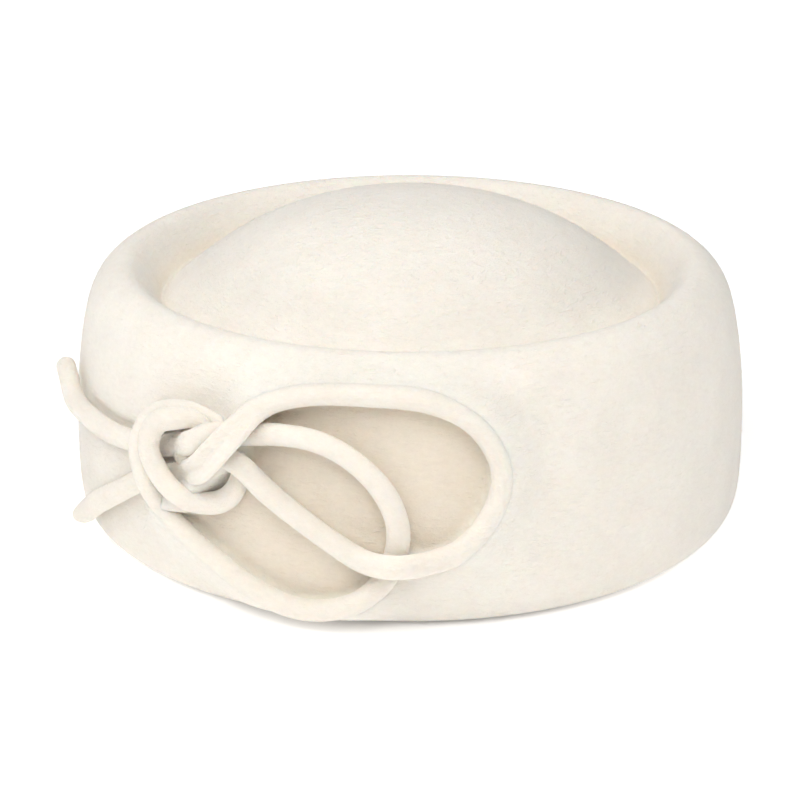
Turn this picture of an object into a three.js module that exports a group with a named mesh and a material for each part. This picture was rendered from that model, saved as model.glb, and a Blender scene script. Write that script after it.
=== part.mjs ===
// A felt pillbox hat: one blocked shell of wool felt with a domed tip, a groove round it, a
// rolled rim and a turned-in lower edge, and a felt cord knotted and sewn to its left front.
// Millimetres, +Z up, standing on z = 0 with the front towards -Y; the route below is given
// about the shell's own axis.
import * as THREE from "three";

// The felt shell.
const FELT = 2.8; // thickness of the felt
const SHELL_FACETS = 60; // flats round the hat
const SIDE_STEPS = 22; // bands from the hem to the groove
const OPENING_RADIUS = 92.5; // free edge of the turned-in hem, 58 cm round for the head
const DOME_RADIUS = 80;
const DOME_FOOT = 73; // height at which the dome's curve starts
const DOME_RISE = 30;
const DOME_POWER = 2.45; // above 2 the tip is flatter and the sides rounder than a parabola

// Side wall, rim and groove, from the hem's flat up to the groove at the dome's foot.
// Columns: radius, height.
const SIDE = [
  [102.4, 0],
  [105.6, 0.5],
  [108.5, 2.1],
  [110.4, 4.9],
  [111.5, 9.3],
  [112.0, 18],
  [112.0, 27],
  [111.8, 36],
  [111.3, 45],
  [110.4, 54],
  [109.1, 62.5],
  [107.5, 70],
  [106.0, 74.6],
  [103.6, 78.9],
  [100.4, 82],
  [97.2, 83.8],
  [94.6, 84.2],
  [92.2, 83.3],
  [89.8, 80.9],
  [87.2, 77],
  [84.9, 73.8],
  [82.8, 72.6],
  [80.9, 73.5],
];

// Radii at which the dome's curve is sampled, from the groove to the tip.
const DOME_RADII = [78.6, 75, 70, 63, 54, 43, 30, 16];

// Place of the shell's axis, which puts the middle of the hat's footprint, knot and all, on
// the origin.
const AXIS_PLACE = [2.69, 6.49];

// The cord, laid flat on the wall and tied in a knot with two loops.
const CORD_STEPS = 150; // rings along the cord
const CORD_SIDES = 10; // flats round the cord
// Its route, in the order in which it is tied, one short table for each stretch.
// Columns: angle round the hat from the front in degrees, height on the wall, standoff of the
// cord's middle from the wall, width along the wall, thickness off the wall.
// Its cut end stands a little off the wall, then it goes under the ring's left side.
const UPPER_TAIL = [
  [-79.4, 52.9, 5.0, 7.2, 6.6],
  [-75.2, 51.2, 4.6, 7.0, 6.6],
  [-70.6, 47.2, 4.2, 7.0, 6.6],
  [-62.4, 46.6, 3.7, 7.0, 6.5],
  [-53.5, 46.7, 3.5, 7.0, 6.0],
];
// Inside the ring, then out over its right side and under the strand on top.
const THROUGH_RING = [
  [-44.0, 48.8, 3.0, 6.8, 4.8],
  [-38.0, 52.2, 3.6, 7.0, 5.0],
  [-32.5, 56.8, 11.4, 7.0, 4.9],
  [-29.8, 59.9, 11.1, 7.0, 4.8],
  [-25.2, 60.2, 3.9, 7.0, 5.5],
  [-20.9, 61.4, 3.8, 7.0, 6.7],
];
// Over, down and under the lower run of the big loop.
const INNER_LOOP = [
  [-14.4, 60.9, 4.0, 7.0, 7.0],
  [-9.3, 56.8, 3.9, 7.0, 7.0],
  [-4.3, 48.0, 4.0, 7.0, 7.0],
  [-2.0, 38.7, 4.1, 7.0, 7.0],
  [-1.8, 30.2, 3.4, 7.1, 5.9],
  [-3.6, 19.4, 3.3, 7.1, 5.5],
];
// Round along the lower edge and back up to the left.
const LOWER_LOOP = [
  [-7.5, 11.8, 4.1, 7.0, 6.9],
  [-12.4, 8.1, 3.9, 7.0, 7.0],
  [-18.0, 7.7, 3.9, 7.0, 7.0],
  [-24.3, 11.5, 3.9, 7.0, 7.0],
  [-31.8, 19.4, 4.0, 7.0, 7.0],
  [-38.8, 26.5, 3.9, 7.0, 6.8],
  [-41.4, 30.8, 4.2, 7.0, 6.1],
];
// Over both tails, up the left side and over the top of the ring.
const RING_OUTER = [
  [-42.2, 36.3, 7.6, 7.0, 5.3],
  [-44.6, 49.9, 8.4, 7.0, 5.2],
  [-44.2, 57.0, 5.5, 7.0, 5.6],
  [-42.7, 60.0, 3.9, 7.0, 6.2],
  [-37.3, 62.7, 3.9, 7.0, 6.6],
  [-34.9, 62.5, 3.1, 6.4, 5.1],
];
// Behind the right side, round the bottom, up inside the first turn and down into the hole.
const RING_INNER = [
  [-29.1, 58.7, 2.5, 5.3, 4.2],
  [-26.9, 48.7, 2.7, 5.2, 4.2],
  [-27.6, 41.6, 3.6, 6.9, 6.1],
  [-30.1, 37.5, 3.9, 7.0, 6.8],
  [-34.0, 36.1, 4.9, 7.0, 6.6],
  [-36.5, 38.3, 7.9, 7.0, 5.8],
  [-39.7, 44.1, 9.3, 7.4, 5.6],
  [-41.0, 51.7, 11.0, 7.6, 5.6],
  [-39.8, 59.0, 10.4, 7.4, 6.0],
  [-36.6, 61.5, 10.4, 7.0, 5.6],
  [-33.2, 62.1, 8.0, 5.8, 4.2],
];
// Out of the knot, over the inner loop and round to the right.
const BIG_LOOP_LOWER = [
  [-29.9, 54.6, 6.4, 5.6, 4.4],
  [-28.1, 53.2, 7.6, 6.4, 4.8],
  [-25.5, 51.4, 7.3, 7.4, 5.4],
  [-22.0, 44.2, 4.3, 7.4, 6.9],
  [-15.6, 35.7, 4.2, 7.1, 7.0],
  [-7.9, 26.1, 4.6, 7.0, 7.0],
  [-4.9, 25.6, 8.4, 7.0, 7.0],
  [-1.5, 25.7, 10.0, 7.0, 7.0],
  [2.9, 24.9, 4.5, 7.0, 7.0],
  [7.3, 27.8, 4.0, 7.0, 7.0],
  [11.2, 35.5, 3.9, 7.0, 7.0],
];
// Up round the right end and back along the top.
const BIG_LOOP_UPPER = [
  [13.6, 45.1, 3.9, 7.0, 7.0],
  [13.9, 53.5, 3.9, 7.0, 7.0],
  [11.4, 63.5, 3.9, 7.0, 7.0],
  [8.1, 69.1, 4.0, 7.0, 7.0],
  [1.8, 73.4, 3.9, 7.0, 7.0],
  [-6.3, 74.3, 3.9, 7.0, 7.0],
  [-15.3, 73.6, 4.0, 7.0, 7.0],
  [-21.5, 70.7, 4.1, 7.3, 6.7],
  [-23.8, 67.9, 5.8, 7.9, 5.5],
];
// Flattened over the top of the knot, then under the ring's left side.
const OVER_KNOT = [
  [-25.7, 61.7, 13.0, 8.8, 4.8],
  [-28.2, 55.0, 15.3, 8.8, 4.8],
  [-30.7, 50.2, 12.9, 8.8, 4.8],
  [-36.8, 43.6, 3.2, 8.6, 4.8],
];
// Out to the left with a cut end.
const LOWER_TAIL = [
  [-39.6, 41.3, 2.8, 8.1, 4.6],
  [-45.0, 37.9, 2.9, 7.6, 4.9],
  [-51.5, 29.8, 3.7, 7.4, 6.4],
  [-60.2, 19.4, 3.7, 7.6, 6.6],
  [-67.0, 10.4, 4.2, 8.0, 6.8],
];
const CORD_ROUTE = [
  ...UPPER_TAIL,
  ...THROUGH_RING,
  ...INNER_LOOP,
  ...LOWER_LOOP,
  ...RING_OUTER,
  ...RING_INNER,
  ...BIG_LOOP_LOWER,
  ...BIG_LOOP_UPPER,
  ...OVER_KNOT,
  ...LOWER_TAIL,
];

const domeHeight = (radius) =>
  DOME_FOOT + DOME_RISE * (1 - (radius / DOME_RADIUS) ** DOME_POWER);

// The side wall as one smooth line in the plane of radius and height.
const sideCurve = new THREE.CatmullRomCurve3(
  SIDE.map(([radius, height]) => new THREE.Vector3(radius, 0, height)),
  false,
  "centripetal",
);

// Outside of the shell from the hem's free edge to the tip.
function outsideLine() {
  const line = [
    [OPENING_RADIUS + 0.8, 0],
    [98, 0],
  ];
  for (const point of sideCurve.getSpacedPoints(SIDE_STEPS)) {
    line.push([point.x, point.z]);
  }
  for (const radius of DOME_RADII) {
    line.push([radius, domeHeight(radius)]);
  }
  line.push([0, domeHeight(0)]);
  return line;
}

// A copy of the line moved inwards by a distance, at right angles to it.
function insetLine(line, distance) {
  return line.map(([radius, height], i) => {
    const before = line[Math.max(0, i - 1)];
    const after = line[Math.min(line.length - 1, i + 1)];
    const run = after[0] - before[0];
    const rise = after[1] - before[1];
    const length = Math.hypot(run, rise);
    return [
      radius - (distance * rise) / length,
      height + (distance * run) / length,
    ];
  });
}

// The shell is turned from its outside line, a rounded free edge and the inset inside line.
function feltShell() {
  const outside = outsideLine();
  const inside = insetLine(outside, FELT).slice(1, -1);
  const freeEdge = [
    [OPENING_RADIUS + 0.8, FELT],
    [OPENING_RADIUS, FELT - 0.8],
    [OPENING_RADIUS, 0.8],
  ];
  const tipInside = [0, domeHeight(0) - FELT];
  const section = [
    tipInside,
    ...inside.reverse(),
    ...freeEdge,
    ...outside,
  ];
  const points = section.map(
    ([radius, height]) => new THREE.Vector2(Math.max(0, radius), height),
  );
  const geometry = new THREE.LatheGeometry(points, SHELL_FACETS);
  geometry.rotateX(Math.PI / 2);
  return geometry;
}

// Fine samples of the side wall, by which a height on it gives its radius and its slope.
const wallSamples = sideCurve
  .getSpacedPoints(600)
  .filter((point) => point.z < 84)
  .slice(0, 520);

function wallAt(height) {
  let i = 1;
  while (i < wallSamples.length - 2 && wallSamples[i].z < height) {
    i += 1;
  }
  const low = wallSamples[i - 1];
  const high = wallSamples[i];
  const share = (height - low.z) / (high.z - low.z);
  const run = high.x - low.x;
  const rise = high.z - low.z;
  const length = Math.hypot(run, rise);
  return {
    radius: low.x + run * share,
    out: rise / length,
    up: -run / length,
  };
}

// A row of the route as the cord's middle, the direction off the wall and the two sizes.
function cordStation([angle, height, standoff, width, thickness]) {
  const turn = THREE.MathUtils.degToRad(angle);
  const wall = wallAt(height);
  const off = new THREE.Vector3(
    wall.out * Math.sin(turn),
    -wall.out * Math.cos(turn),
    wall.up,
  );
  const middle = new THREE.Vector3(
    wall.radius * Math.sin(turn),
    -wall.radius * Math.cos(turn),
    height,
  ).addScaledVector(off, standoff);
  return { middle, off, width, thickness };
}

// An oval section is swept along the route, its flatter side towards the wall, and capped.
function knottedCord() {
  const stations = CORD_ROUTE.map(cordStation);
  const middleCurve = new THREE.CatmullRomCurve3(
    stations.map((station) => station.middle),
    false,
    "centripetal",
  );
  middleCurve.arcLengthDivisions = 1200;
  const positions = [];
  const last = stations.length - 1;
  for (let i = 0; i <= CORD_STEPS; i += 1) {
    const along = middleCurve.getUtoTmapping(i / CORD_STEPS);
    const centre = middleCurve.getPoint(along);
    const tangent = middleCurve.getTangent(along);
    const row = Math.min(last - 1, Math.floor(along * last));
    const share = along * last - row;
    const from = stations[row];
    const to = stations[row + 1];
    const off = from.off.clone().lerp(to.off, share);
    const across = new THREE.Vector3().crossVectors(tangent, off).normalize();
    const outward = new THREE.Vector3().crossVectors(across, tangent).normalize();
    const width = THREE.MathUtils.lerp(from.width, to.width, share);
    const thickness = THREE.MathUtils.lerp(from.thickness, to.thickness, share);
    for (let side = 0; side < CORD_SIDES; side += 1) {
      const round = (2 * Math.PI * side) / CORD_SIDES;
      const point = centre
        .clone()
        .addScaledVector(across, (Math.cos(round) * width) / 2)
        .addScaledVector(outward, (Math.sin(round) * thickness) / 2);
      positions.push(point.x, point.y, point.z);
    }
  }
  const firstCap = positions.length / 3;
  const start = middleCurve.getPoint(0);
  const end = middleCurve.getPoint(1);
  positions.push(start.x, start.y, start.z, end.x, end.y, end.z);

  const faces = [];
  for (let i = 0; i < CORD_STEPS; i += 1) {
    for (let side = 0; side < CORD_SIDES; side += 1) {
      const next = (side + 1) % CORD_SIDES;
      const a = i * CORD_SIDES + side;
      const b = i * CORD_SIDES + next;
      const c = (i + 1) * CORD_SIDES + next;
      const d = (i + 1) * CORD_SIDES + side;
      faces.push(a, c, b, a, d, c);
    }
  }
  const lastRing = CORD_STEPS * CORD_SIDES;
  for (let side = 0; side < CORD_SIDES; side += 1) {
    const next = (side + 1) % CORD_SIDES;
    faces.push(firstCap, side, next);
    faces.push(firstCap + 1, lastRing + next, lastRing + side);
  }
  const geometry = new THREE.BufferGeometry();
  geometry.setAttribute(
    "position",
    new THREE.Float32BufferAttribute(positions, 3),
  );
  geometry.setIndex(faces);
  geometry.computeVertexNormals();
  return geometry;
}

const ivoryFelt = new THREE.MeshStandardMaterial({
  color: 0xefe6d8,
  roughness: 0.95,
});

const hat = new THREE.Group();
hat.position.set(AXIS_PLACE[0], AXIS_PLACE[1], 0);

const feltBody = new THREE.Mesh(feltShell(), ivoryFelt);
feltBody.name = "felt_body";
hat.add(feltBody);

const knottedTrim = new THREE.Mesh(knottedCord(), ivoryFelt);
knottedTrim.name = "knotted_cord";
hat.add(knottedTrim);

export default hat;
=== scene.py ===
import math

import bpy
import numpy as np
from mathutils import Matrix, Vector


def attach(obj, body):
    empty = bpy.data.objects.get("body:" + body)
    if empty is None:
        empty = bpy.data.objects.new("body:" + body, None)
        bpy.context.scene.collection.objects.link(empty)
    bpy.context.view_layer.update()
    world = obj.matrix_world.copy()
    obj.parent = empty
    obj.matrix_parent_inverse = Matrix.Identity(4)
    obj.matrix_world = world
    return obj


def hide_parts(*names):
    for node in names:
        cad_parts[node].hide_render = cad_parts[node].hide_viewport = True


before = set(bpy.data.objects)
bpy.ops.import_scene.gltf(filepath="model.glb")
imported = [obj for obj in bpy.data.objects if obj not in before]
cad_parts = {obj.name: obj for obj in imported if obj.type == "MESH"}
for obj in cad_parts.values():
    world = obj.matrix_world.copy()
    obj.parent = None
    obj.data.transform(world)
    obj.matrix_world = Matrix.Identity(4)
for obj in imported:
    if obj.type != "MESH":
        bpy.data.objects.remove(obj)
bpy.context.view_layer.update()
MM = 0.001

# The camera stands 0.9 m from the hat, about 20 degrees above it, and looks at its front with
# the knot to the left. The shell's own axis stands a little to the right of the origin.
AXIS = np.array([2.69, 6.49, 0.0]) * MM
LENS_PIXELS = 2664  # the lens, in pixels of a picture 800 wide
OFF_RIGHT, OFF_UP = 10.1, 34.14  # how far the aim lies from the picture's middle, in pixels
camera_data = bpy.data.cameras.new("studio_camera")
camera_data.sensor_width = 36
camera_data.lens = 119.88
camera_data.clip_start = 0.01
studio_camera = bpy.data.objects.new("studio_camera", camera_data)
bpy.context.scene.collection.objects.link(studio_camera)
studio_camera.location = (0.00269, -0.83801, 0.35605)
line_of_sight = Vector((0.00269, 0.00649, 0.045)) - studio_camera.location
line_of_sight.normalize()
to_right = line_of_sight.cross(Vector((0, 0, 1))).normalized()
to_top = to_right.cross(line_of_sight)
line_of_sight -= to_right * (OFF_RIGHT / LENS_PIXELS) + to_top * (OFF_UP / LENS_PIXELS)
studio_camera.rotation_euler = line_of_sight.to_track_quat("-Z", "Y").to_euler()
bpy.context.scene.camera = studio_camera


# The studio: a white table top that runs on behind the hat, a dim white room, and soft boxes
# all round. The strongest stand in front and to both sides, high above the hat. The table glows
# a little, except right under the hat, so that a narrow shadow is left at its front.
def add_node(tree, kind, feeds=(), **settings):
    """A node with its settings, whose inputs are linked or given a value."""
    node = tree.nodes.new(kind)
    for name, value in settings.items():
        setattr(node, name, value)
    for place, value in dict(feeds).items():
        if isinstance(value, bpy.types.NodeSocket):
            tree.links.new(value, node.inputs[place])
        else:
            node.inputs[place].default_value = value
    return node


def show_mesh(name, points, faces, edges=()):
    """A new piece with this mesh."""
    mesh = bpy.data.meshes.new(name)
    mesh.from_pydata([tuple(p) for p in points], list(edges), list(faces))
    piece = bpy.data.objects.new(name, mesh)
    bpy.context.scene.collection.objects.link(piece)
    return piece


def soft_box(name, place, aim, size, power):
    """A large soft lamp, turned towards its aim."""
    light = bpy.data.lights.new(name, "AREA")
    light.shape = "RECTANGLE"
    light.size, light.size_y = size
    light.energy = power
    lamp = bpy.data.objects.new(name, light)
    lamp.location = place
    lamp.rotation_euler = (Vector(aim) - Vector(place)).to_track_quat("-Z", "Y").to_euler()
    bpy.context.scene.collection.objects.link(lamp)


bpy.context.scene.view_settings.view_transform = "Standard"
bpy.context.scene.view_settings.look = "None"
room = bpy.data.worlds.new("white_room")
room.use_nodes = True
room.node_tree.nodes["Background"].inputs["Color"].default_value = (1.0, 1.0, 1.0, 1.0)
room.node_tree.nodes["Background"].inputs["Strength"].default_value = 0.02
bpy.context.scene.world = room
SUBJECT = (0.0, 0.0, 0.05)
# Columns: place, width and height, power.
for name, place, size, power in [
    ("overhead_box", (0.0, 0.0, 1.5), (1.2, 1.2), 2.2),
    ("front_box", (0.0, -1.1, 1.2), (1.0, 1.0), 13.3),
    ("left_top_box", (-0.9, -0.3, 1.3), (0.9, 0.9), 9.5),
    ("right_top_box", (0.9, -0.3, 1.3), (0.9, 0.9), 6.5),
    ("left_front_box", (-1.2, -0.9, 0.8), (0.9, 0.9), 2.4),
    ("left_box", (-1.5, 0.0, 0.7), (0.9, 0.9), 1.4),
    ("right_front_box", (1.2, -0.9, 0.8), (0.9, 0.9), 0.8),
    ("back_box", (0.0, 1.1, 1.2), (1.0, 1.0), 0.6),
]:
    soft_box(name, place, SUBJECT, size, power)

GLOW_MIDDLE = (0.0027, -0.035, 0.0)  # the table glows from here outwards, past the hat's front
table_paint = bpy.data.materials.new("white_table")
table_paint.use_nodes = True
paint = table_paint.node_tree.nodes["Principled BSDF"]
paint.inputs["Base Color"].default_value = (0.92, 0.92, 0.92, 1.0)
paint.inputs["Roughness"].default_value = 0.8
paint.inputs["Specular IOR Level"].default_value = 0.1
paint.inputs["Emission Color"].default_value = (1.0, 1.0, 1.0, 1.0)
table_tree = table_paint.node_tree
from_middle = add_node(
    table_tree,
    "ShaderNodeVectorMath",
    {0: add_node(table_tree, "ShaderNodeTexCoord").outputs["Object"], 1: GLOW_MIDDLE},
    operation="DISTANCE",
).outputs["Value"]
near_glow = add_node(
    table_tree,
    "ShaderNodeMapRange",
    {"Value": from_middle, "From Min": 0.052, "From Max": 0.090, "To Max": 0.4},
).outputs[0]
far_glow = add_node(
    table_tree,
    "ShaderNodeMapRange",
    {"Value": from_middle, "From Min": 0.24, "From Max": 0.40, "To Max": 0.25},
).outputs[0]
glow = add_node(
    table_tree, "ShaderNodeMath", {0: near_glow, 1: far_glow}, operation="ADD"
).outputs[0]
table_tree.links.new(glow, paint.inputs["Emission Strength"])
TABLE_REACH, TABLE_LEVEL = 12.0, -0.0002
CORNERS = [(-1, -1), (1, -1), (1, 1), (-1, 1)]
table_top = show_mesh(
    "table_top",
    [(x * TABLE_REACH, y * TABLE_REACH, TABLE_LEVEL) for x, y in CORNERS],
    [(0, 1, 2, 3)],
)
table_top.data.materials.append(table_paint)


# The hat's shell: one piece of stiff ivory wool felt, steamed over a block. It has a domed tip,
# a deep groove round it, a rolled rim, a bulging side and a lower edge turned in flat. The felt
# is pressed in inside the loops of the cord and swells up against the cord's outer side.
FELT = 2.8
OPENING_RADIUS = 92.5
DOME_RADIUS, DOME_FOOT, DOME_RISE, DOME_POWER = 80, 73, 30, 2.45
SHELL_FACETS = 360
SHELL_GAP = 1.1  # distance between rows on the outside
DOME_ROWS = 62
# Columns: radius, height.
SIDE = [
    (102.4, 0), (105.6, 0.5), (108.5, 2.1), (110.4, 4.9), (111.5, 9.3), (112.0, 18),
    (112.0, 27), (111.8, 36), (111.3, 45), (110.4, 54), (109.1, 62.5), (107.5, 70),
    (106.0, 74.6), (103.6, 78.9), (100.4, 82), (97.2, 83.8), (94.6, 84.2), (92.2, 83.4),
    (90.0, 81.7), (87.8, 79.3), (85.8, 76.4), (84.2, 73.8), (83.1, 72.0), (82.3, 71.4),
    (81.2, 72.1),
]


def blended(start, end, from_knot, to_knot, at):
    return ((to_knot - at) * start + (at - from_knot) * end) / (to_knot - from_knot)


STEPS_PER_ROW = 24


def smooth_line(rows, gap, place_columns):
    """The centripetal curve through the rows, at even gaps. Its other columns are blended."""
    rows = np.asarray(rows, float)
    places = rows[:, :place_columns]
    places = np.vstack([2 * places[0] - places[1], places, 2 * places[-1] - places[-2]])
    curves = []
    for i in range(len(rows) - 1):
        four = places[i : i + 4]
        knots = np.r_[0, np.cumsum(np.sqrt(np.linalg.norm(np.diff(four, axis=0), axis=1)))]
        share = np.linspace(0, 1, STEPS_PER_ROW, endpoint=i == len(rows) - 2)[:, None]
        at = knots[1] + (knots[2] - knots[1]) * share
        pairs = [blended(four[k], four[k + 1], knots[k], knots[k + 1], at) for k in range(3)]
        triples = [blended(pairs[k], pairs[k + 1], knots[k], knots[k + 2], at) for k in range(2)]
        curve = blended(triples[0], triples[1], knots[1], knots[2], at)
        others = rows[i, place_columns:] * (1 - share) + rows[i + 1, place_columns:] * share
        curves.append(np.hstack([curve, others]))
    line = np.vstack(curves)
    run = np.r_[0, np.cumsum(np.linalg.norm(np.diff(line[:, :place_columns], axis=0), axis=1))]
    even = np.linspace(0, run[-1], max(2, round(run[-1] / gap)) + 1)
    return np.column_stack([np.interp(even, run, column) for column in line.T])


def inset(line, distance):
    """A copy of the line moved inwards, at right angles to it."""
    way = np.gradient(line, axis=0)
    way /= np.linalg.norm(way, axis=1)[:, None]
    return line + distance * np.column_stack([-way[:, 1], way[:, 0]])


side_line = smooth_line(SIDE, SHELL_GAP, 2)
dome_radii = DOME_RADIUS * np.sin(np.linspace(math.pi / 2, 0, DOME_ROWS))[2:]
dome_line = np.column_stack(
    [dome_radii, DOME_FOOT + DOME_RISE * (1 - (dome_radii / DOME_RADIUS) ** DOME_POWER)]
)
outside = np.vstack([[(93.6, 0), (96, 0), (99, 0)], side_line, dome_line])
inside = inset(outside[::3], FELT)[2:-1]
free_edge = [
    (OPENING_RADIUS + 1.9, FELT), (OPENING_RADIUS + 0.6, FELT - 0.4),
    (OPENING_RADIUS + 0.1, 2.0), (OPENING_RADIUS, 1.4),
    (OPENING_RADIUS + 0.1, 0.8), (OPENING_RADIUS + 0.4, 0.3),
]
section = np.vstack([[(0, DOME_FOOT + DOME_RISE - FELT)], inside[::-1], free_edge, outside])
section[:, 0] = np.maximum(section[:, 0], 0)


def start_tree(name, sizes):
    """A Geometry Nodes tree with its named inputs, and what it is given."""
    tree = bpy.data.node_groups.new(name, "GeometryNodeTree")
    tree.interface.new_socket("Geometry", in_out="INPUT", socket_type="NodeSocketGeometry")
    for label, kind in sizes.items():
        tree.interface.new_socket(label, in_out="INPUT", socket_type="NodeSocket" + kind)
    tree.interface.new_socket("Geometry", in_out="OUTPUT", socket_type="NodeSocketGeometry")
    return tree, add_node(tree, "NodeGroupInput").outputs


def end_tree(tree, shape, material):
    """Merged points, real meshes, smooth faces and a material."""
    merged = add_node(tree, "GeometryNodeMergeByDistance", {"Geometry": shape, "Distance": 2e-6})
    smooth = add_node(tree, "GeometryNodeSetShadeSmooth", {"Geometry": merged.outputs[0]})
    real = add_node(tree, "GeometryNodeRealizeInstances", {"Geometry": smooth.outputs[0]})
    dressed = add_node(
        tree, "GeometryNodeSetMaterial", {"Geometry": real.outputs[0], "Material": material}
    )
    add_node(tree, "NodeGroupOutput", {"Geometry": dressed.outputs[0]})


def grow(name, seed, tree, values):
    """The seed's mesh as the tree makes it, as a plain mesh on a new piece."""
    growing = seed.modifiers.new(name, "NODES")
    growing.node_group = tree
    for item in tree.interface.items_tree:
        if item.in_out == "INPUT" and item.name in values:
            growing[item.identifier] = values[item.name]
    seed.update_tag()
    bpy.context.view_layer.update()
    grown = seed.evaluated_get(bpy.context.evaluated_depsgraph_get())
    mesh = bpy.data.meshes.new_from_object(grown)
    mesh.name = name
    seed.modifiers.remove(growing)
    piece = bpy.data.objects.new(name, mesh)
    bpy.context.scene.collection.objects.link(piece)
    return piece


def maths(tree, operation, *terms):
    """A sum on numbers."""
    feeds = {i: term for i, term in enumerate(terms)}
    return add_node(tree, "ShaderNodeMath", feeds, operation=operation).outputs[0]


def vector_maths(tree, operation, *terms):
    """A sum on vectors."""
    node = add_node(
        tree, "ShaderNodeVectorMath", {i: t for i, t in enumerate(terms)}, operation=operation
    )
    return node.outputs["Vector"]


def ringed_grid(tree, rings, sides):
    """A flat grid, one row to a ring, with each point's ring number and turn round the ring."""
    grid = add_node(
        tree,
        "GeometryNodeMeshGrid",
        {
            "Size X": 1.0,
            "Size Y": 1.0,
            "Vertices X": rings,
            "Vertices Y": maths(tree, "ADD", sides, 1),
        },
    )
    spot = add_node(tree, "GeometryNodeInputPosition").outputs[0]
    parts = add_node(tree, "ShaderNodeSeparateXYZ", {0: spot}).outputs
    ring = maths(
        tree, "MULTIPLY", maths(tree, "ADD", parts[0], 0.5), maths(tree, "SUBTRACT", rings, 1)
    )
    turn = maths(tree, "MULTIPLY", maths(tree, "ADD", parts[1], 0.5), 2 * math.pi)
    return grid.outputs["Mesh"], maths(tree, "ROUND", ring), turn


def point_value(tree, points, ring, source, kind):
    """A value that the seed holds at the point of this ring."""
    return add_node(
        tree,
        "GeometryNodeSampleIndex",
        {"Geometry": points, "Value": source, "Index": ring},
        data_type=kind,
        domain="POINT",
    ).outputs[0]


def held(tree, name, kind):
    """A named value that the seed holds."""
    return add_node(
        tree, "GeometryNodeInputNamedAttribute", {"Name": name}, data_type=kind
    ).outputs["Attribute"]


# Blocking: the section is turned round the shell's axis.
blocking, given = start_tree(
    "blocked_felt", {"Facets": "Int", "Axis place": "Vector", "Finish": "Material"}
)
row_count = add_node(
    blocking, "GeometryNodeAttributeDomainSize", {"Geometry": given["Geometry"]}
).outputs["Point Count"]
sheet, ring, turn = ringed_grid(blocking, row_count, given["Facets"])
spot = add_node(blocking, "GeometryNodeInputPosition").outputs[0]
on_section = add_node(
    blocking,
    "ShaderNodeSeparateXYZ",
    {0: point_value(blocking, given["Geometry"], ring, spot, "FLOAT_VECTOR")},
).outputs
turned = add_node(
    blocking,
    "ShaderNodeCombineXYZ",
    {
        0: maths(blocking, "MULTIPLY", on_section[0], maths(blocking, "SINE", turn)),
        1: maths(blocking, "MULTIPLY", on_section[0], maths(blocking, "COSINE", turn)),
        2: on_section[2],
    },
).outputs[0]
blocked = add_node(
    blocking,
    "GeometryNodeSetPosition",
    {
        "Geometry": sheet,
        "Position": vector_maths(blocking, "ADD", turned, given["Axis place"]),
    },
).outputs[0]
end_tree(blocking, blocked, given["Finish"])


def felt_finish(name, warm, cool, grain, painted_shade=(1.0, 1.0, 1.0)):
    """Brushed wool felt: soft mottling, short fibres and a faint bloom at grazing angles, with
    painted shade: a darker, warmer colour where the piece holds a painted shade share.
    """
    material = bpy.data.materials.new(name)
    material.use_nodes = True
    tree = material.node_tree
    skin = tree.nodes["Principled BSDF"]
    spot = add_node(tree, "ShaderNodeTexCoord").outputs["Object"]

    def noise(scale, detail, stretch=(1.0, 1.0, 1.0), rough=0.55, twist=0.0):
        laid = add_node(tree, "ShaderNodeMapping", {"Vector": spot, "Scale": stretch})
        return add_node(
            tree,
            "ShaderNodeTexNoise",
            {
                "Vector": laid.outputs[0],
                "Scale": scale,
                "Detail": detail,
                "Roughness": rough,
                "Distortion": twist,
            },
        ).outputs["Fac"]

    cloud = noise(55.0, 3.0)
    mottle = noise(420.0, 4.0, (1.0, 1.0, 1.8), 0.65)
    fibres = noise(1500.0, 3.0, (1.0, 1.0, 2.6), 0.7, 0.6)
    streaks = add_node(
        tree,
        "ShaderNodeMapRange",
        {"Value": noise(300.0, 3.0, (1.0, 1.0, 3.6), 0.6, 0.5), "From Min": 0.5, "From Max": 0.72},
        interpolation_type="SMOOTHSTEP",
    ).outputs[0]
    tone = maths(
        tree,
        "ADD",
        maths(tree, "MULTIPLY", cloud, 0.35),
        maths(tree, "MULTIPLY", maths(tree, "ADD", mottle, fibres), 0.325),
    )
    shade = add_node(
        tree, "ShaderNodeMapRange", {"Value": tone, "From Min": 0.36, "From Max": 0.64}
    ).outputs[0]
    colour = add_node(
        tree,
        "ShaderNodeMix",
        {"Factor": shade, 6: (*cool, 1.0), 7: (*warm, 1.0)},
        data_type="RGBA",
    ).outputs[2]
    # Painted shade: the colour is multiplied darker and warmer by the share stored on the piece, in
    # the felt's recesses, at the ring and in the groove, where shade falls.
    shaded_colour = add_node(
        tree,
        "ShaderNodeMix",
        {
            "Factor": add_node(tree, "ShaderNodeAttribute", attribute_name="painted_shade").outputs["Fac"],
            6: colour,
            7: vector_maths(tree, "MULTIPLY", colour, painted_shade),
        },
        data_type="RGBA",
    ).outputs[2]
    tree.links.new(shaded_colour, skin.inputs["Base Color"])
    height = maths(
        tree,
        "ADD",
        maths(tree, "MULTIPLY", fibres, 0.7),
        maths(tree, "ADD", mottle, maths(tree, "MULTIPLY", streaks, 0.75)),
    )
    relief = add_node(
        tree,
        "ShaderNodeBump",
        {"Height": height, "Strength": grain, "Distance": 0.0008},
    ).outputs[0]
    tree.links.new(relief, skin.inputs["Normal"])
    skin.inputs["Roughness"].default_value = 0.95
    skin.inputs["Specular IOR Level"].default_value = 0.2
    skin.inputs["Sheen Weight"].default_value = 0.25
    skin.inputs["Sheen Roughness"].default_value = 0.5
    skin.inputs["Sheen Tint"].default_value = (1.0, 0.97, 0.92, 1.0)
    skin.inputs["Subsurface Weight"].default_value = 0.5
    skin.inputs["Subsurface Radius"].default_value = (1.0, 0.65, 0.42)
    skin.inputs["Subsurface Scale"].default_value = 0.0024
    return material


# The last colour is painted shade: it darkens and warms the felt where shade falls in the recesses
# and the groove.
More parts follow.
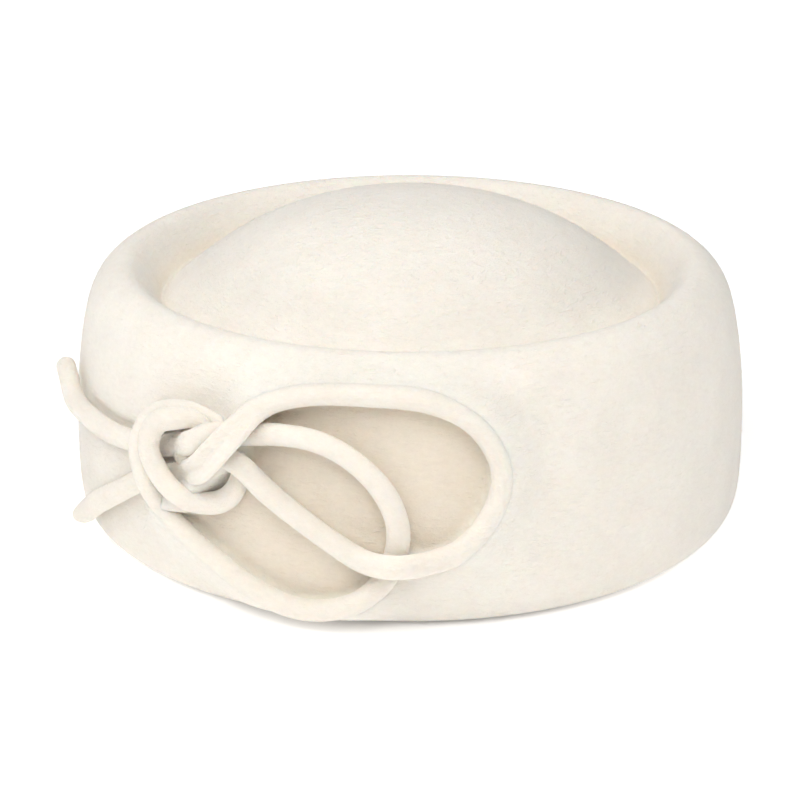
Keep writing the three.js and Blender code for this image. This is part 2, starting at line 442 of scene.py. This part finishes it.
body_felt = felt_finish(
    "ivory_wool_felt", (0.90, 0.852, 0.775), (0.82, 0.768, 0.69), 0.5, (0.965, 0.925, 0.865)
)
section_line = show_mesh(
    "section_line",
    [(across * MM, 0, height * MM) for across, height in section],
    (),
    [(i, i + 1) for i in range(len(section) - 1)],
)
felt_shell = grow(
    "felt_shell",
    section_line,
    blocking,
    {"Facets": SHELL_FACETS, "Axis place": tuple(AXIS), "Finish": body_felt},
)
bpy.data.objects.remove(section_line)

# The cord's route is needed for the felt's relief, so it is worked out here.
# Columns: angle round the hat in degrees, height, standoff from the wall, width, thickness.
UPPER_TAIL = [
    (-79.4, 52.9, 5.0, 7.2, 6.6),
    (-75.2, 51.2, 4.6, 7.0, 6.6),
    (-70.6, 47.2, 4.2, 7.0, 6.6),
    (-62.4, 46.6, 3.7, 7.0, 6.5),
    (-53.5, 46.7, 3.5, 7.0, 6.0),
]
THROUGH_RING = [
    (-44.0, 48.8, 3.0, 6.8, 4.8),
    (-38.0, 52.2, 3.6, 7.0, 5.0),
    (-32.5, 56.8, 11.4, 7.0, 4.9),
    (-29.8, 59.9, 11.1, 7.0, 4.8),
    (-25.2, 60.2, 3.9, 7.0, 5.5),
    (-20.9, 61.4, 3.8, 7.0, 6.7),
]
INNER_LOOP = [
    (-14.4, 60.9, 4.0, 7.0, 7.0),
    (-9.3, 56.8, 3.9, 7.0, 7.0),
    (-4.3, 48.0, 4.0, 7.0, 7.0),
    (-2.0, 38.7, 4.1, 7.0, 7.0),
    (-1.8, 30.2, 3.4, 7.1, 5.9),
    (-3.6, 19.4, 3.3, 7.1, 5.5),
]
LOWER_LOOP = [
    (-7.5, 11.8, 4.1, 7.0, 6.9),
    (-12.4, 8.1, 3.9, 7.0, 7.0),
    (-18.0, 7.7, 3.9, 7.0, 7.0),
    (-24.3, 11.5, 3.9, 7.0, 7.0),
    (-31.8, 19.4, 4.0, 7.0, 7.0),
    (-38.8, 26.5, 3.9, 7.0, 6.8),
    (-41.4, 30.8, 4.2, 7.0, 6.1),
]
RING_OUTER = [
    (-42.2, 36.3, 7.6, 7.0, 5.3),
    (-44.6, 49.9, 8.4, 7.0, 5.2),
    (-44.2, 57.0, 5.5, 7.0, 5.6),
    (-42.7, 60.0, 3.9, 7.0, 6.2),
    (-37.3, 62.7, 3.9, 7.0, 6.6),
    (-34.9, 62.5, 3.1, 6.4, 5.1),
]
RING_INNER = [
    (-29.1, 58.7, 2.5, 5.3, 4.2),
    (-26.9, 48.7, 2.7, 5.2, 4.2),
    (-27.6, 41.6, 3.6, 6.9, 6.1),
    (-30.1, 37.5, 3.9, 7.0, 6.8),
    (-34.0, 36.1, 4.9, 7.0, 6.6),
    (-36.5, 38.3, 7.9, 7.0, 5.8),
    (-39.7, 44.1, 9.3, 7.4, 5.6),
    (-41.0, 51.7, 11.0, 7.6, 5.6),
    (-39.8, 59.0, 10.4, 7.4, 6.0),
    (-36.6, 61.5, 10.4, 7.0, 5.6),
    (-33.2, 62.1, 8.0, 5.8, 4.2),
]
BIG_LOOP_LOWER = [
    (-29.9, 54.6, 6.4, 5.6, 4.4),
    (-28.1, 53.2, 7.6, 6.4, 4.8),
    (-25.5, 51.4, 7.3, 7.4, 5.4),
    (-22.0, 44.2, 4.3, 7.4, 6.9),
    (-15.6, 35.7, 4.2, 7.1, 7.0),
    (-7.9, 26.1, 4.6, 7.0, 7.0),
    (-4.9, 25.6, 8.4, 7.0, 7.0),
    (-1.5, 25.7, 10.0, 7.0, 7.0),
    (2.9, 24.9, 4.5, 7.0, 7.0),
    (7.3, 27.8, 4.0, 7.0, 7.0),
    (11.2, 35.5, 3.9, 7.0, 7.0),
]
BIG_LOOP_UPPER = [
    (13.6, 45.1, 3.9, 7.0, 7.0),
    (13.9, 53.5, 3.9, 7.0, 7.0),
    (11.4, 63.5, 3.9, 7.0, 7.0),
    (8.1, 69.1, 4.0, 7.0, 7.0),
    (1.8, 73.4, 3.9, 7.0, 7.0),
    (-6.3, 74.3, 3.9, 7.0, 7.0),
    (-15.3, 73.6, 4.0, 7.0, 7.0),
    (-21.5, 70.7, 4.1, 7.3, 6.7),
    (-23.8, 67.9, 5.8, 7.9, 5.5),
]
OVER_KNOT = [
    (-25.7, 61.7, 13.0, 8.8, 4.8),
    (-28.2, 55.0, 15.3, 8.8, 4.8),
    (-30.7, 50.2, 12.9, 8.8, 4.8),
    (-36.8, 43.6, 3.2, 8.6, 4.8),
]
LOWER_TAIL = [
    (-39.6, 41.3, 2.8, 8.1, 4.6),
    (-45.0, 37.9, 2.9, 7.6, 4.9),
    (-51.5, 29.8, 3.7, 7.4, 6.4),
    (-60.2, 19.4, 3.7, 7.6, 6.6),
    (-67.0, 10.4, 4.2, 8.0, 6.8),
]
STRETCHES = {
    "upper tail": UPPER_TAIL,
    "through ring": THROUGH_RING,
    "inner loop": INNER_LOOP,
    "lower loop": LOWER_LOOP,
    "ring outer": RING_OUTER,
    "ring inner": RING_INNER,
    "big loop lower": BIG_LOOP_LOWER,
    "big loop upper": BIG_LOOP_UPPER,
    "over knot": OVER_KNOT,
    "lower tail": LOWER_TAIL,
}


ROWS_BELOW_CREST = 4  # the wall ends this many rows below the rim's crest


def wall_at(height):
    """Radius of the wall at a height, and its outward direction in the plane of the section."""
    wall = side_line[: np.argmax(side_line[:, 1]) - ROWS_BELOW_CREST]
    way = np.gradient(wall, axis=0)
    way /= np.linalg.norm(way, axis=1)[:, None]
    return [np.interp(height, wall[:, 1], c) for c in (wall[:, 0], way[:, 1], -way[:, 0])]


def off_wall(angle, height, standoff):
    """A place on the cord's route, and the direction off the wall there."""
    radius, out, up = wall_at(height)
    turn = np.radians(angle)
    off = np.array([out * np.sin(turn), -out * np.cos(turn), up])
    return np.array([radius * np.sin(turn), -radius * np.cos(turn), height]) + standoff * off, off


cord_rows = np.array([row for stretch in STRETCHES.values() for row in stretch])
stations = []
for number, (angle, height, standoff, width, thickness) in enumerate(cord_rows):
    place, off = off_wall(angle, height, standoff)
    stations.append([*place, *off, width, thickness, number])
CORD_GAP = 0.7
route = smooth_line(stations, CORD_GAP, 3)

# Relief in the wall, worked out on the unrolled wall. Inside the loops it lies deeper, most at
# the top. It swells against the cord's outer side, between the two tails, and under the strands
# that cross the recess.
RECESS, TOP_RECESS = 1.0, 1.1  # depth low down, and what the upper part adds to it
TOP_START, TOP_RISE = 25, 40  # it is added from this height on, over this height
KNOT_RECESS, KNOT_ANGLE, KNOT_FADE = 0.35, -29, 14  # share left at the knot, where, fade's width
SWELL, SWELL_REACH = 6.8, 15.0
CROSSING_SWELL, CROSSING_START, CROSSING_FADE = 0.4, 7.0, 16.0  # share left, where, fade's width
FAN_SWELL = 1.8
TAIL_SWELL, TAIL_START, TAIL_REACH = 0.8, 3.2, 8.0  # just above the upper tail
RING_SWELL, RING_MIDDLE, RING_FLAT = 5.0, (-36.6, 51.0), 4.0  # the middle is an angle and a height
LOOP_CROSSING = (-2.0, 25.5)  # angle, height
SLOPE = 4.5  # width of the slopes from one level to the next
WALL_RADIUS, RIM_RADIUS, RELIEF_REACH = 112.0, 96, 130
GROOVE_RADIUS, GROOVE_SPREAD = 83.0, 2.2
INSIDE_THE_KNOT = [(-26.5, 62), (-27.5, 52), (-30, 41), (-37, 32)]  # angle, height


def unrolled(points):
    """Places on the wall laid out flat: the way round it, and the height."""
    return np.column_stack([WALL_RADIUS * np.arctan2(points[:, 0], -points[:, 1]), points[:, 2]])


first = {}  # the number of each stretch's first row
rows_so_far = 0
for label, stretch in STRETCHES.items():
    first[label] = rows_so_far
    rows_so_far += len(stretch)


def between(low, high):
    """The cord's unrolled middle line from one row number to another."""
    return unrolled(route[(route[:, 8] >= low) & (route[:, 8] <= high)][:, :3])


edge = np.vstack([
    between(first["big loop lower"] + 7.2, first["over knot"] - 0.6),
    unrolled(np.array([off_wall(a, h, 0)[0] for a, h in INSIDE_THE_KNOT])),
    between(first["inner loop"] + 4.4, first["ring outer"] - 1)[::-1],
])
fan = np.vstack([
    between(0, first["through ring"] + 0.5),
    between(first["lower tail"] + 0.5, first["lower tail"] + 4),
])
under_loop = between(first["big loop lower"] + 3.2, first["big loop lower"] + 7.0)
upper_inner = between(first["inner loop"] - 1, first["inner loop"] + 4.2)


def step_distance(spots, start, way):
    """Distance to one straight step of a line."""
    share = np.clip(((spots - start) @ way) / (way @ way), 0, 1)
    return np.linalg.norm(spots - start - share[:, None] * way, axis=1)


def outline_distance(spots, line):
    """Distance to the closed line, positive inside."""
    best = np.full(len(spots), 1e9)
    inside = np.zeros(len(spots), bool)
    for start, end in zip(line, np.roll(line, -1, axis=0)):
        way = end - start
        if way @ way < 1e-9:
            continue
        best = np.minimum(best, step_distance(spots, start, way))
        if way[1] != 0:
            level = (start[1] > spots[:, 1]) != (end[1] > spots[:, 1])
            edge_place = start[0] + way[0] * (spots[:, 1] - start[1]) / way[1]
            inside ^= level & (spots[:, 0] < edge_place)
    return np.where(inside, best, -best)


def cord_distance(spots, line):
    """Distance to an open line."""
    best = np.full(len(spots), 1e9)
    for start, end in zip(line[:-1], line[1:]):
        best = np.minimum(best, step_distance(spots, start, end - start))
    return best


def rising(values, start, width):
    """From 0 at the start to 1 a width further on, eased at both ends."""
    share = np.clip((values - start) / width, 0, 1)
    return share * share * (3 - 2 * share)


def raised(lift, level, share):
    """The lift, brought up to a level where it is lower, by a share from 0 to 1."""
    return lift + np.maximum(level - lift, 0) * share


shell_points = np.empty(len(felt_shell.data.vertices) * 3)
felt_shell.data.vertices.foreach_get("co", shell_points)
shell_points = shell_points.reshape(-1, 3)
about_axis = (shell_points - AXIS) / MM
from_axis = np.hypot(about_axis[:, 0], about_axis[:, 1])
flat = unrolled(about_axis)
on_wall = (from_axis > RIM_RADIUS) & (np.abs(flat[:, 0]) < RELIEF_REACH)
spots = flat[on_wall]
round_wall, height = spots.T
deep = outline_distance(spots, edge[::2])
clear_of_knot = rising(np.degrees(round_wall / WALL_RADIUS), KNOT_ANGLE, KNOT_FADE)
depth = RECESS + TOP_RECESS * rising(height, TOP_START, TOP_RISE)
depth *= KNOT_RECESS + (1 - KNOT_RECESS) * clear_of_knot
crossing = np.radians(LOOP_CROSSING[0]) * WALL_RADIUS, LOOP_CROSSING[1]
from_crossing = np.linalg.norm(spots - crossing, axis=1)
clear_of_crossing = rising(from_crossing, CROSSING_START, CROSSING_FADE)
swell = SWELL * (CROSSING_SWELL + (1 - CROSSING_SWELL) * clear_of_crossing)
swell = np.where(deep > 0, swell, swell * (1 - rising(-deep, 1.0, SWELL_REACH)))
inside_share = rising(deep, -1.0, SLOPE)
lift = swell * (1 - inside_share) - depth * inside_share
for line, level in [(under_loop, 0.8), (upper_inner, -1.4)]:
    lift = raised(lift, level, 1 - rising(cord_distance(spots, line), 2.0, SLOPE))
ring_middle = np.radians(RING_MIDDLE[0]) * WALL_RADIUS, RING_MIDDLE[1]
from_ring = np.linalg.norm(spots - ring_middle, axis=1)
in_ring = 1 - rising(from_ring, RING_FLAT, SLOPE)
lift = raised(lift, RING_SWELL, in_ring)
inside_fan = outline_distance(spots, fan[::2])
lift = raised(lift, FAN_SWELL, rising(inside_fan, -1.0, SLOPE))
near_tail = rising(-inside_fan, TAIL_START, 2.5) * (1 - rising(-inside_fan, TAIL_REACH, 14.0))
above_tail = rising(height, 46, 6.0) * rising(-round_wall, 48, 20.0)
lift += TAIL_SWELL * near_tail * above_tail
lift *= rising(height, 0, 6.0) * rising(-height, -84, 10.0)
# Painted shade: the felt's colour is made a little darker and warmer inside the pressed-in loops, on
# the swell in the ring and in the groove, where shade falls.
tone = np.zeros(len(shell_points))
tone[on_wall] = np.maximum(rising(deep, 1.0, 2.0), in_ring)
groove = np.exp(-(((from_axis - GROOVE_RADIUS) / GROOVE_SPREAD) ** 2)) * (about_axis[:, 2] > 70)
tone = np.maximum(tone, 0.9 * groove)
store = felt_shell.data.attributes.new("painted_shade", "FLOAT", "POINT")
store.data.foreach_set("value", tone)
outwards = about_axis[on_wall] * (1, 1, 0)
outwards /= np.linalg.norm(outwards, axis=1)[:, None]
shell_points[on_wall] += outwards * (lift * MM)[:, None]
felt_shell.data.vertices.foreach_set("co", shell_points.ravel())
felt_shell.data.update()
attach(felt_shell, "root")
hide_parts("felt_body")

# The cord: one long felt cord, sewn flat on the shell in a round knot with a big loop and a
# smaller double loop, and two short cut tails. It is oval where it lies over another strand,
# and folded flat where it crosses the knot.
CORD_SIDES = 24
FOLD_DEPTH, FOLD_WIDTH = 1.05, 0.55  # shares of the cord's half thickness and half width
FOLD_ROW, FOLD_LENGTH = 1.4, 1.9  # in rows of the route, from the start of the strand over the knot
GIRTH_WOBBLE = 0.035
ROUTE_BLUR, WOBBLE_BLUR = 2.0, 9.0  # in rings
laying, given = start_tree(
    "laid_cord", {"Sides": "Int", "Axis place": "Vector", "Finish": "Material"}
)
rings = add_node(
    laying, "GeometryNodeAttributeDomainSize", {"Geometry": given["Geometry"]}
).outputs["Point Count"]
sheet, ring, turn = ringed_grid(laying, rings, given["Sides"])


def on_route(name, kind):
    """A value that the route's line holds, at this ring."""
    source = held(laying, name, kind)
    return point_value(laying, given["Geometry"], ring, source, kind)


middle = point_value(
    laying,
    given["Geometry"],
    ring,
    add_node(laying, "GeometryNodeInputPosition").outputs[0],
    "FLOAT_VECTOR",
)
across = on_route("across", "FLOAT_VECTOR")
outward = on_route("outward", "FLOAT_VECTOR")
side_share = maths(laying, "COSINE", turn)
out_share = maths(laying, "SINE", turn)
valley = maths(laying, "DIVIDE", side_share, FOLD_WIDTH)
valley = maths(laying, "MULTIPLY", maths(laying, "MULTIPLY", valley, valley), -1.0)
valley = maths(laying, "EXPONENT", valley)
valley = maths(laying, "MULTIPLY", valley, on_route("fold", "FLOAT"))
valley = maths(laying, "MULTIPLY", valley, maths(laying, "GREATER_THAN", out_share, 0.0))
out_share = maths(laying, "MULTIPLY", out_share, maths(laying, "SUBTRACT", 1.0, valley))


def scaled(direction, share, size):
    """A step in this direction."""
    node = add_node(
        laying,
        "ShaderNodeVectorMath",
        {0: direction, "Scale": maths(laying, "MULTIPLY", share, size)},
        operation="SCALE",
    )
    return node.outputs["Vector"]


skin_spot = vector_maths(
    laying,
    "ADD",
    vector_maths(laying, "ADD", middle, given["Axis place"]),
    vector_maths(
        laying,
        "ADD",
        scaled(across, side_share, on_route("half_width", "FLOAT")),
        scaled(outward, out_share, on_route("half_thickness", "FLOAT")),
    ),
)
pattern = add_node(
    laying,
    "GeometryNodeStoreNamedAttribute",
    {
        "Geometry": sheet,
        "Name": "cord_map",
        "Value": add_node(
            laying,
            "ShaderNodeCombineXYZ",
            {0: on_route("run", "FLOAT"), 1: maths(laying, "DIVIDE", turn, 2 * math.pi)},
        ).outputs[0],
    },
    data_type="FLOAT2",
    domain="CORNER",
).outputs[0]
laid = add_node(
    laying, "GeometryNodeSetPosition", {"Geometry": pattern, "Position": skin_spot}
).outputs[0]
end_tree(laying, laid, given["Finish"])


def evened(values, width):
    """The values along the route, evened out over a width in rings."""
    reach = int(3 * width)
    weights = np.exp(-0.5 * (np.arange(-reach, reach + 1) / width) ** 2)
    weights /= weights.sum()
    padded = np.pad(values, ((reach, reach), (0, 0)), mode="reflect", reflect_type="odd")
    return np.column_stack([np.convolve(column, weights, "valid") for column in padded.T])


route[:, :8] = evened(route[:, :8], ROUTE_BLUR)
random = np.random.default_rng(4)
wobble = evened(random.normal(size=(len(route), 2)), WOBBLE_BLUR)
wobble *= GIRTH_WOBBLE / wobble.std(axis=0)
middles = route[:, :3]
along = np.gradient(middles, axis=0)
along /= np.linalg.norm(along, axis=1)[:, None]
across_route = np.cross(along, route[:, 3:6])
across_route /= np.linalg.norm(across_route, axis=1)[:, None]
outward_route = np.cross(across_route, along)
# Cut ends: the last rings shrink to a rounded edge and a flat face.
END_SHARES = [0, 0.45, 0.8, 0.93, 0.985]
END_BACK = [0, 0.0, 0.12, 0.45, 0.9]
END_LENGTH = 1.3
run = np.r_[0, np.cumsum(np.linalg.norm(np.diff(middles, axis=0), axis=1))]
keep = (run > END_LENGTH) & (run < run[-1] - END_LENGTH)
head = np.interp(END_BACK, run, np.arange(len(run)))
tail = np.interp(run[-1] - np.array(END_BACK)[::-1], run, np.arange(len(run)))
steps = np.r_[head, np.arange(len(run))[keep], tail]
girth = np.r_[END_SHARES, np.ones(keep.sum()), END_SHARES[::-1]]


def picked(values):
    """Values along the route, at the rings that are kept and at those of the ends."""
    values = np.asarray(values, float)
    if values.ndim == 1:
        return np.interp(steps, np.arange(len(run)), values)
    return np.column_stack([np.interp(steps, np.arange(len(run)), c) for c in values.T])


number = picked(route[:, 8])
from_fold = number - (first["over knot"] + FOLD_ROW)
fold = FOLD_DEPTH * np.exp(-((from_fold / FOLD_LENGTH) ** 2))
route_line = show_mesh(
    "route_line", picked(middles) * MM, (), [(i, i + 1) for i in range(len(steps) - 1)]
)
for name, values in {"across": picked(across_route), "outward": picked(outward_route)}.items():
    store = route_line.data.attributes.new(name, "FLOAT_VECTOR", "POINT")
    store.data.foreach_set("vector", values.ravel())
for name, values in {
    "half_width": picked(route[:, 6] * (1 + wobble[:, 0])) * girth * MM / 2,
    "half_thickness": picked(route[:, 7] * (1 + wobble[:, 1])) * girth * MM / 2,
    "fold": fold,
    "run": picked(run) * MM,
}.items():
    store = route_line.data.attributes.new(name, "FLOAT", "POINT")
    store.data.foreach_set("value", values)
cord_felt = felt_finish("ivory_felt_cord", (0.86, 0.812, 0.733), (0.785, 0.73, 0.65), 0.4)
knotted_cord = grow(
    "felt_cord",
    route_line,
    laying,
    {"Sides": CORD_SIDES, "Axis place": tuple(AXIS), "Finish": cord_felt},
)
bpy.data.objects.remove(route_line)
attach(knotted_cord, "root")
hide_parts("knotted_cord")

# The nap: short loose wool fibres, which brushing has pulled out of the felt and the cord. They
# are slim cones that stand off at all angles, wherever the outside shows.
NAP_LENGTH, NAP_RADIUS = 0.0011, 0.00005
NAP_UP = 0.55  # how much the fibres lean outwards, against their stray directions
SHELL_NAP, CORD_NAP = 430000.0, 600000.0  # fibres to a square metre
napping, given = start_tree(
    "wool_nap",
    {
        "Density": "Float",
        "Length": "Float",
        "Radius": "Float",
        "Seed": "Int",
        "Finish": "Material",
    },
)
sown = add_node(
    napping,
    "GeometryNodeDistributePointsOnFaces",
    {
        "Mesh": given["Geometry"],
        "Density": maths(napping, "MULTIPLY", given["Density"], held(napping, "shows", "FLOAT")),
        "Seed": given["Seed"],
    },
).outputs
stray = add_node(
    napping,
    "FunctionNodeRandomValue",
    {0: (-1.0, -1.0, -1.0), 1: (1.0, 1.0, 1.0), "Seed": given["Seed"]},
    data_type="FLOAT_VECTOR",
).outputs[0]
half_up = add_node(
    napping, "ShaderNodeVectorMath", {0: sown["Normal"], "Scale": NAP_UP}, operation="SCALE"
).outputs["Vector"]
lean = add_node(
    napping,
    "FunctionNodeAlignRotationToVector",
    {"Vector": vector_maths(napping, "ADD", half_up, stray)},
    axis="Z",
).outputs[0]
fibre = add_node(
    napping,
    "GeometryNodeMeshCone",
    {
        "Vertices": 3,
        "Side Segments": 1,
        "Fill Segments": 1,
        "Radius Top": 0.0,
        "Radius Bottom": given["Radius"],
        "Depth": given["Length"],
    },
).outputs["Mesh"]
spread = add_node(
    napping,
    "FunctionNodeRandomValue",
    {2: 0.4, 3: 1.0, "Seed": maths(napping, "ADD", given["Seed"], 1)},
    data_type="FLOAT",
).outputs[1]
planted = add_node(
    napping,
    "GeometryNodeInstanceOnPoints",
    {"Points": sown["Points"], "Instance": fibre, "Rotation": lean, "Scale": spread},
).outputs[0]
real_nap = add_node(napping, "GeometryNodeRealizeInstances", {"Geometry": planted}).outputs[0]
dressed_nap = add_node(
    napping, "GeometryNodeSetMaterial", {"Geometry": real_nap, "Material": given["Finish"]}
).outputs[0]
add_node(napping, "NodeGroupOutput", {"Geometry": dressed_nap})


def mark_showing(piece, shows):
    """Marks the faces that carry nap."""
    store = piece.data.attributes.new("shows", "FLOAT", "FACE")
    store.data.foreach_set("value", np.asarray(shows, float))


def face_values(piece, name):
    values = np.empty(len(piece.data.polygons) * 3)
    piece.data.polygons.foreach_get(name, values)
    return values.reshape(-1, 3)


centres = (face_values(felt_shell, "center") - AXIS) / MM
normals = face_values(felt_shell, "normal")
face_radius = np.hypot(centres[:, 0], centres[:, 1])
facing_out = (normals[:, :2] * centres[:, :2]).sum(axis=1) / np.maximum(face_radius, 1)
on_top = (normals[:, 2] > 0.02) & (centres[:, 2] > 60)
on_side = (facing_out > 0.3) & (face_radius > 104) & (centres[:, 2] > 2)
mark_showing(felt_shell, on_top | on_side)
mark_showing(knotted_cord, np.ones(len(knotted_cord.data.polygons)))
for name, piece, density, seed, finish in [
    ("shell_nap", felt_shell, SHELL_NAP, 3, body_felt),
    ("cord_nap", knotted_cord, CORD_NAP, 8, cord_felt),
]:
    nap = grow(
        name,
        piece,
        napping,
        {
            "Density": density,
            "Length": NAP_LENGTH,
            "Radius": NAP_RADIUS,
            "Seed": seed,
            "Finish": finish,
        },
    )
    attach(nap, "root")
